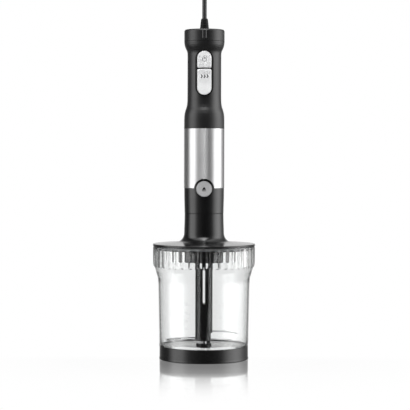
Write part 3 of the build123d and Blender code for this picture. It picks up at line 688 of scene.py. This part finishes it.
# ---------------------------------------------------------------- buttons
def button(name, key, z0, z1, w, rt, rb, R, y_back, shape, edge=0.8, step=0.24):
    """Push button: stadium outline on a round grip, soft edge, and its own relief."""
    mid, hh = (z0 + z1) / 2, (z1 - z0) / 2

    def inside(x, z):
        r = rt if z > mid else rb
        qx, qz = abs(x) - (w / 2 - r), abs(z - mid) - (hh - r)
        return -(min(max(qx, qz), 0) + math.hypot(max(qx, 0), max(qz, 0)) - r)

    def half(z):
        r = rt if z > mid else rb
        q = abs(z - mid) - (hh - r)
        return w / 2 if q <= 0 else w / 2 - r + math.sqrt(max(0.0, r * r - q * q))

    zs = [z0 + rb * (1 - math.cos(math.pi / 2 * k / 14)) for k in range(14)]
    m = int((z1 - rt - z0 - rb) / step)
    zs += [z0 + rb + (z1 - rt - z0 - rb) * k / m for k in range(m)]
    q = max(14, int(rt / step * 1.4))
    zs += [z1 - rt + rt * math.sin(math.pi / 2 * k / q) for k in range(q + 1)]
    if rb > 4:
        qb = max(14, int(rb / step * 1.4))
        zs = [z0 + rb * (1 - math.cos(math.pi / 2 * k / qb)) for k in range(qb)] + zs[14:]
    nc = int(w / step)
    front, back = [], []
    for z in zs:
        h = half(z)
        f, b = [], []
        for i in range(nc + 1):
            s = math.sin(math.pi / 2 * (2 * i / nc - 1)) * 0.35 + (2 * i / nc - 1) * 0.65
            x = h * s
            d = max(0.0, inside(x, z))
            y = -math.sqrt(R * R - x * x) - shape(x, z, d)
            if d < edge:
                y += edge * (1 - math.sqrt(max(0.0, 1 - (1 - d / edge) ** 2)))
            f.append(V((x, y, z)) * MM)
            b.append(V((x, y_back, z)) * MM)
        front.append(f)
        back.append(b)
    return grid_solid(name, front, back, key, 50)


def dots(x, z, pitch=2.3, radius=0.85, height=0.8):
    row = round(z / (pitch * 0.5))
    best = 9.0
    for rr in (row - 1, row, row + 1):
        off = pitch / 2 * (rr % 2)
        cx = round((x - off) / pitch) * pitch + off
        best = min(best, math.hypot(x - cx, z - rr * pitch * 0.5))
    return height * (1 - (best / radius) ** 2) ** 2 if best < radius else 0.0


def power_shape(x, z, d):
    if d < 1.3 or z > 423.2 or math.hypot(x, z - 417.4) < 4.3:
        return 0.0
    return dots(x, z)


def turbo_shape(x, z, d):
    y = 0.0
    if z > 399.0 and d > 1.1:
        y += dots(x, z)
    t = (z - 384.5) / 10.5          # shallow thumb hollow, with a proud lower end
    if abs(t) < 1:
        y -= 0.55 * (0.5 + 0.5 * math.cos(math.pi * t)) * min(1.0, d / 2.5)
    return y


pb = button("power_button_cap", "satin_silver", 406.0, 429.3, 19.6, 9.8, 2.0, 24.7, -21.7, power_shape)
place(pb, "power_button", "satin_silver", "power_button")
tb = button("turbo_button_cap", "satin_silver", 368.7, 404.4, 19.6, 2.0, 9.8, 24.7, -21.7, turbo_shape)
place(tb, "turbo_button", "satin_silver", "turbo_button")


def plunger(name, z, body):
    prof = rounded([(0, -17.4), (2.2, -17.4, 0.5), (2.2, -22.3), (0, -22.3)], False, 4)
    ob = lathe(name, prof, "inner_plastic", n=32)
    ob.data.transform(Matrix.Translation((0, 0, z * MM)) @ Matrix.Rotation(math.radians(90), 4, "X")
                      @ Matrix.Scale(-1, 4, (0, 0, 1)))
    ob.data.flip_normals()
    return place(ob, body, "satin_silver")


plunger("power_plunger", 417.65, "power_button")
plunger("turbo_plunger", 388.0, "turbo_button")


def symbol(name, quads, R, body, shift=0.0, thick=0.22, zc=0.0):
    """Thin plates, bent onto the round face, that make a plain symbol."""
    verts, faces = [], []
    for quad in quads:
        base = len(verts)
        k = 4
        for a in range(k + 1):
            for b in range(k + 1):
                s, t = a / k, b / k
                x = ((1 - s) * (1 - t) * quad[0][0] + s * (1 - t) * quad[1][0] + s * t * quad[2][0]
                     + (1 - s) * t * quad[3][0])
                z = ((1 - s) * (1 - t) * quad[0][1] + s * (1 - t) * quad[1][1] + s * t * quad[2][1]
                     + (1 - s) * t * quad[3][1])
                y = -math.sqrt(R * R - x * x)
                verts.append(V((x, y - 0.07 + shift, z + zc)) * MM)
                verts.append(V((x, y - 0.07 + thick + shift, z + zc)) * MM)
        idx = lambda a, b, c: base + 2 * (a * (k + 1) + b) + c
        for a in range(k):
            for b in range(k):
                faces.append((idx(a, b, 0), idx(a, b + 1, 0), idx(a + 1, b + 1, 0), idx(a + 1, b, 0)))
                faces.append((idx(a, b, 1), idx(a + 1, b, 1), idx(a + 1, b + 1, 1), idx(a, b + 1, 1)))
        for a in range(k):
            faces.append((idx(a, 0, 0), idx(a + 1, 0, 0), idx(a + 1, 0, 1), idx(a, 0, 1)))
            faces.append((idx(a, k, 0), idx(a, k, 1), idx(a + 1, k, 1), idx(a + 1, k, 0)))
            faces.append((idx(0, a, 0), idx(0, a, 1), idx(0, a + 1, 1), idx(0, a + 1, 0)))
            faces.append((idx(k, a, 0), idx(k, a + 1, 0), idx(k, a + 1, 1), idx(k, a, 1)))
    ob = finished(name, verts, faces, "black_plastic", 40, weld=2e-6)
    return place(ob, body, "black_plastic")


def arc_quads(r, w, a0, a1, k=22):
    out = []
    for i in range(k):
        p, q = math.radians(a0 + (a1 - a0) * i / k), math.radians(a0 + (a1 - a0) * (i + 1) / k)
        out.append([((r - w / 2) * math.sin(p), (r - w / 2) * math.cos(p)),
                    ((r + w / 2) * math.sin(p), (r + w / 2) * math.cos(p)),
                    ((r + w / 2) * math.sin(q), (r + w / 2) * math.cos(q)),
                    ((r - w / 2) * math.sin(q), (r - w / 2) * math.cos(q))])
    return out


symbol("power_symbol", arc_quads(2.65, 0.72, 34, 326) + [[(-0.36, 0.6), (0.36, 0.6), (0.36, 3.9), (-0.36, 3.9)]],
       24.7, "power_button", zc=417.4)
chev = []
for cx in (-5.2, -1.2, 2.8):
    chev.append([(cx, 2.3), (cx + 1.5, 2.3), (cx + 3.2, 0.0), (cx + 1.7, 0.0)])
    chev.append([(cx + 1.7, 0.0), (cx + 3.2, 0.0), (cx + 1.5, -2.3), (cx, -2.3)])
symbol("boost_symbol", chev, 24.7, "turbo_button", zc=394.4)

# release button: round, faintly dished
NR, NA = 40, 128
verts, faces = [], []


def dish(rr, a):
    x, z = rr * math.cos(a), rr * math.sin(a)
    d = 10.9 - rr
    y = -math.sqrt(29.0 ** 2 - x * x) + 0.35 * max(0.0, 1 - (rr / 8.6) ** 2)
    if d < 0.8:
        y += 0.8 * (1 - math.sqrt(max(0.0, 1 - (1 - d / 0.8) ** 2)))
    return (x * MM, y * MM, (238.5 + z) * MM)


verts.append(dish(0.0, 0.0))
rr_list = [10.9 * (k / NR) ** 0.85 for k in range(1, NR + 1)]
for rr in rr_list:
    verts += [dish(rr, 2 * math.pi * i / NA) for i in range(NA)]
faces += [(0, 1 + i, 1 + (i + 1) % NA) for i in range(NA)]
for j in range(NR - 1):
    for i in range(NA):
        a, b = 1 + j * NA + i, 1 + j * NA + (i + 1) % NA
        faces.append((a, a + NA, b + NA, b))
last = 1 + (NR - 1) * NA
o = len(verts)
verts += [(10.9 * math.cos(2 * math.pi * i / NA) * MM, -27.2 * MM,
           (238.5 + 10.9 * math.sin(2 * math.pi * i / NA)) * MM) for i in range(NA)]
for i in range(NA):
    k = (i + 1) % NA
    faces.append((last + i, o + i, o + k, last + k))
verts.append((0, -27.2 * MM, 238.5 * MM))
faces += [(o + i, len(verts) - 1, o + (i + 1) % NA) for i in range(NA)]
rb = finished("release_button_cap", verts, faces, "release_grey", 50)
place(rb, "release_button", "light_grey", "release_button")
stem = lathe("release_stem", rounded([(0, -25.3), (2.6, -25.3, 0.5), (2.6, -27.5), (0, -27.5)], False, 4),
             "inner_plastic", n=32)
stem.data.transform(Matrix.Translation((0, 0, 242.5 * MM)) @ Matrix.Rotation(math.radians(90), 4, "X")
                    @ Matrix.Scale(-1, 4, (0, 0, 1)))
stem.data.flip_normals()
place(stem, "release_button", "light_grey")
symbol("release_symbol", [[(-2.9, -0.9), (2.9, -0.9), (0.05, 3.1), (-0.05, 3.1)],
                          [(-2.9, -2.9), (2.9, -2.9), (2.9, -1.9), (-2.9, -1.9)]],
       29.0, "release_button", shift=0.30, zc=238.4)

# ------------------------------------------------------------------- head
dial = lathe("speed_dial_ring", rounded(
    [(9.5, 445.0, 0.2), (11.2, 445.0, 0.2), (11.2, 457.4, 0.4), (25.9, 457.4, 0.4), (25.9, 443.6, 0.15),
     (28.1, 443.6, 0.3), (28.1, 457.9, 2.0), (27.2, 459.7, 1.2), (25.9, 460.0, 0.4), (9.5, 460.0, 0.3)],
    closed=True, seg=6), "soft_touch", n=256, closed=True)
place(dial, "dial", "soft_touch", "speed_dial")
front, back = [], []
for j in range(49):
    t = j / 48
    z = 444.4 + (458.4 - 444.4) * t
    k = 1.0
    if z < 447.4:
        k = math.sqrt(max(0.0, 1 - ((447.4 - z) / 3.0) ** 2))
    if z > 457.4:
        k *= math.sqrt(max(0.0, 1 - ((z - 457.4) / 1.02) ** 2)) * 0.35 + 0.65
    f, b = [], []
    for i in range(49):
        a = math.radians(-90 + 180 * i / 48)
        x = 3.5 * math.sin(a)
        g = 1.25 * math.exp(-(x / 0.75) ** 2)
        rad = (3.1 * math.cos(a) ** 0.7 if abs(a) < 1.57 else 0.0) - g
        f.append(V((x * k, -25.9 - rad * k, z)) * MM)
        b.append(V((x * k, -25.6, z)) * MM)
    front.append(f)
    back.append(b)
rib = grid_solid("dial_pointer", front, back, "black_pointer", 60)
place(rib, "dial", "soft_touch")

relief = lathe("strain_relief_boot", rounded(
    [(0, 446.0), (7.4, 446.0, 0.2), (7.4, 449.8, 0.4), (6.65, 450.6, 0.3), (6.5, 455.6, 0.1), (6.3, 460.6, 0.2),
     (6.12, 463.0, 0.25), (5.86, 464.0, 0.15), (5.78, 466.6, 0.25), (5.5, 467.4, 0.15), (5.42, 470.0, 0.25),
     (5.15, 470.8, 0.15), (5.0, 473.4, 0.9), (4.3, 475.5, 0.5), (3.15, 475.7)], False, 4)
    + [V((0, 475.7))], "boot_rubber", n=64)
place(relief, "motor_unit", "black_plastic", "strain_relief")

# ------------------------------------------------------------- plug and tie
PX, PH = 0.0, 13.7
AT_PLUG = Matrix.Translation((43.5 * MM, 90.6 * MM, 0)) @ Matrix.Rotation(math.radians(90), 4, "Z")


def section(y, w, h, power=3.2, k=40):
    out = []
    for i in range(k):
        a = 2 * math.pi * i / k
        c, s = math.cos(a), math.sin(a)
        x = w / 2 * math.copysign(abs(c) ** (2 / power), c)
        z = h / 2 * math.copysign(abs(s) ** (2 / power), s)
        out.append(V((PX + x, y, PH / 2 + z)) * MM)
    return out


secs = [(0.0, 31.0, 10.8, 3.0), (0.2, 33.6, 12.6, 3.2), (0.8, 34.9, 13.5, 3.4), (3.5, 35.2, 13.6, 3.6),
        (13.5, 35.2, 13.6, 3.6), (18.5, 34.4, 13.5, 3.4), (22.0, 31.0, 13.0, 3.0), (25.0, 25.0, 12.0, 2.8),
        (27.5, 19.0, 10.8, 2.5), (29.5, 14.6, 9.8, 2.3), (31.5, 12.2, 9.0, 2.1), (33.1, 11.2, 8.5, 2.0),
        (33.8, 10.4, 8.1, 2.0), (34.0, 9.2, 7.4, 2.0)]
verts, faces = [], []
K = 40
for y, w, h, p in secs:
    verts += section(y, w, h, p, K)
for j in range(len(secs) - 1):
    for i in range(K):
        a, b = j * K + i, j * K + (i + 1) % K
        faces.append((a, b, b + K, a + K))
verts.append(V((PX, 0, PH / 2)) * MM)
faces += [(len(verts) - 1, (i + 1) % K, i) for i in range(K)]
verts.append(V((PX, 34.0, PH / 2)) * MM)
o = (len(secs) - 1) * K
faces += [(len(verts) - 1, o + i, o + (i + 1) % K) for i in range(K)]
plug = finished("plug_moulded", verts, faces, "plug_plastic", 40)
plug.data.transform(AT_PLUG)
sub = plug.modifiers.new("round", "SUBSURF")
sub.levels = sub.render_levels = 2
place(plug, "motor_unit", "plug_plastic", "plug_body")

pin_prof = rounded([(0, 0), (1.5, 0.0), (2.0, 0.9, 0.5), (2.0, 9.0), (2.0, 19.0), (0, 19.0)], False, 4)
pins = []
for side, tag in ((-1, "left"), (1, "right")):
    pin = lathe("plug_pin_" + tag, pin_prof, "nickel_pin", n=40)
    pin.data.transform(AT_PLUG @ Matrix.Translation((side * 9.5 * MM, -19.0 * MM, PH / 2 * MM))
                       @ Matrix.Rotation(math.radians(-90), 4, "X"))
    if side < 0:
        place(pin, "motor_unit", "nickel_pin", "plug_pins")
    else:
        place(pin, "motor_unit", "nickel_pin")
    slv = lathe("pin_sleeve_" + tag, rounded(
        [(2.03, 9.4, 0.02), (2.03, 18.9, 0.02), (2.12, 18.9, 0.02), (2.12, 9.4, 0.02)], True, 2),
        "plug_plastic", n=40, closed=True)
    slv.data.transform(AT_PLUG @ Matrix.Translation((side * 9.5 * MM, -19.0 * MM, PH / 2 * MM))
                       @ Matrix.Rotation(math.radians(-90), 4, "X"))
    place(slv, "motor_unit", "plug_plastic")
    pins += [pin, slv]

# strap round the coil: a flat loop with a turned-over end
TX, TY = -53.25, 133.5
path = [(-12.4, 0.28), (12.4, 0.28), (12.75, 0.9), (12.85, 3.6), (12.75, 6.3), (12.1, 7.02), (5.0, 7.12),
        (-5.0, 7.12), (-12.1, 7.02), (-12.75, 6.3), (-12.85, 3.6), (-12.75, 0.9)]
path = [V(p) for p in path]
front, back = [], []
cen = V((0, 3.6))
for p in path + path[:1]:
    d = (p - cen)
    q = p - V((math.copysign(min(0.5, abs(d.x)), d.x) if abs(p.x) > 12.5 else 0.0,
               math.copysign(0.45, d.y) if abs(p.x) <= 12.5 else 0.0))
    front.append([V((TX + p.x, TY - 5 + 10 * i / 8, p.y)) * MM for i in range(9)])
    back.append([V((TX + q.x, TY - 5 + 10 * i / 8, q.y)) * MM for i in range(9)])
tie = grid_solid("cord_strap", front, back, "tie_strap", 40)
place(tie, "motor_unit", "tie_strap", "cord_tie")

# -------------------------------------------------------------- stage, light
FLOOR_BOUNCE = 0.08
# softboxes and dark flags round the table, near eye level
LOW = [(-180, 1.00), (-168, 0.90), (-154, 0.22), (-128, 0.10), (-106, 0.12), (-94, 1.3), (-84, 3.0),
       (-58, 3.0), (-48, 1.2), (-36, 0.35), (-12, 0.08), (0, 0.03), (18, 0.04), (34, 0.14), (48, 0.5),
       (58, 1.8), (72, 3.4), (90, 4.0), (106, 2.6), (122, 0.8), (140, 0.3), (154, 0.22), (168, 0.9), (180, 1.00)]
# and higher up
HIGH = [(-180, 0.9), (-130, 0.15), (-106, 0.10), (-94, 0.5), (-76, 1.6), (-56, 1.6), (-43, 2.2), (-28, 3.8),
        (0, 8.0), (12, 7.4), (24, 3.0), (34, 0.7), (44, 0.25), (58, 0.9), (78, 2.0), (110, 1.1), (135, 0.5), (180, 0.9)]
me = bpy.data.meshes.new("studio_floor")
me.from_pydata([(-5, -1.2, 0), (5, -1.2, 0), (5, 12, 0), (-5, 12, 0)], [], [(0, 1, 2, 3)])
floor = bpy.data.objects.new("studio_floor", me)
scene.collection.objects.link(floor)
fm = bpy.data.materials.new("studio_floor")
fm.use_nodes = True
ft = Tree(fm.node_tree)
fo = ft.add("ShaderNodeOutputMaterial")
fco = ft.add("ShaderNodeTexCoord").outputs["Object"]
lp = ft.add("ShaderNodeLightPath")
glow = ft.add("ShaderNodeEmission")
glow.inputs["Color"].default_value = (1, 1, 1, 1)
glow.inputs["Strength"].default_value = 1.0
gloss = ft.add("ShaderNodeBsdfGlossy")
gloss.inputs["Color"].default_value = (1, 1, 1, 1)
gloss.inputs["Roughness"].default_value = 0.06
matte = ft.add("ShaderNodeBsdfDiffuse")
matte.inputs["Color"].default_value = (FLOOR_BOUNCE, FLOOR_BOUNCE, FLOOR_BOUNCE, 1)
fs = ft.add("ShaderNodeSeparateXYZ")
ft.link(fco, fs.inputs[0])
dist = ft.math("SQRT", ft.math("ADD", ft.math("MULTIPLY", fs.outputs[0], fs.outputs[0]),
                               ft.math("MULTIPLY", fs.outputs[1], fs.outputs[1])))
near = ft.ramp(ft.range(dist, 0.0, 0.5, 0, 1),
               [(0.0, 0.95), (0.18, 0.93), (0.24, 0.90), (0.30, 0.86), (0.35, 0.72), (0.40, 0.50),
                (0.50, 0.27), (0.60, 0.12), (0.70, 0.03), (0.80, 0.0)])
front_only = ft.range(fs.outputs[1], 0.03, -0.03, 0, 1)
lw = ft.add("ShaderNodeLayerWeight")
lw.inputs["Blend"].default_value = 0.5
graze = ft.math("MULTIPLY", ft.math("POWER", lw.outputs["Facing"], 4.0), 1.55, clamp=True)
outside = ft.range(dist, 0.052, 0.059, 0, 1)
wgt = ft.math("MULTIPLY", ft.math("MULTIPLY", ft.math("MULTIPLY", near, graze), front_only), outside, clamp=True)
seen = ft.add("ShaderNodeMixShader")
ft.link(wgt, seen.inputs[0])
ft.link(glow.outputs[0], seen.inputs[1])
ft.link(gloss.outputs[0], seen.inputs[2])
pick = ft.add("ShaderNodeMixShader")
ft.link(ft.math("LESS_THAN", ft.math("ADD", lp.outputs["Glossy Depth"], lp.outputs["Diffuse Depth"]), 0.5),
        pick.inputs[0])
polish = ft.add("ShaderNodeMixShader")
ft.link(graze, polish.inputs[0])
ft.link(matte.outputs[0], polish.inputs[1])
ft.link(gloss.outputs[0], polish.inputs[2])
ft.link(polish.outputs[0], pick.inputs[1])
ft.link(seen.outputs[0], pick.inputs[2])
ft.link(pick.outputs[0], fo.inputs["Surface"])
me.materials.append(fm)

world = bpy.data.worlds.new("studio")
scene.world = world
world.use_nodes = True
wt = Tree(world.node_tree)
wo = wt.add("ShaderNodeOutputWorld")
bg = wt.add("ShaderNodeBackground")
wt.link(bg.outputs[0], wo.inputs["Surface"])
sep = wt.add("ShaderNodeSeparateXYZ")
wt.link(wt.add("ShaderNodeTexCoord").outputs["Generated"], sep.inputs[0])
wx, wy, wz = sep.outputs
az = wt.math("ARCTAN2", wx, wt.math("MULTIPLY", wy, -1.0))   # 0 towards the front, + to the right
u = wt.math("ADD", wt.math("DIVIDE", az, 2 * math.pi), 0.5)


def band(stops):
    """Brightness against azimuth in degrees, divided by 8 for the ramp."""
    out = wt.ramp(u, [(0.5 + a / 360.0, v / 8.0) for a, v in stops], "LINEAR")
    return wt.math("MULTIPLY", out, 8.0)


low = band(LOW)
high = band(HIGH)
el = wt.math("ARCSINE", wz)
lift = wt.range(el, math.radians(34), math.radians(48), 0.0, 1.0)
light = wt.math("ADD", wt.math("MULTIPLY", low, wt.math("SUBTRACT", 1.0, lift)), wt.math("MULTIPLY", high, lift))
wl = wt.add("ShaderNodeLightPath")
wm = wt.add("ShaderNodeMix", data_type="FLOAT")
wt.link(wl.outputs["Is Camera Ray"], wm.inputs[0])
wt.link(light, wm.inputs[2])
wm.inputs[3].default_value = 1.0
wt.link(wm.outputs[0], bg.inputs["Strength"])
bg.inputs["Color"].default_value = (1, 1, 1, 1)
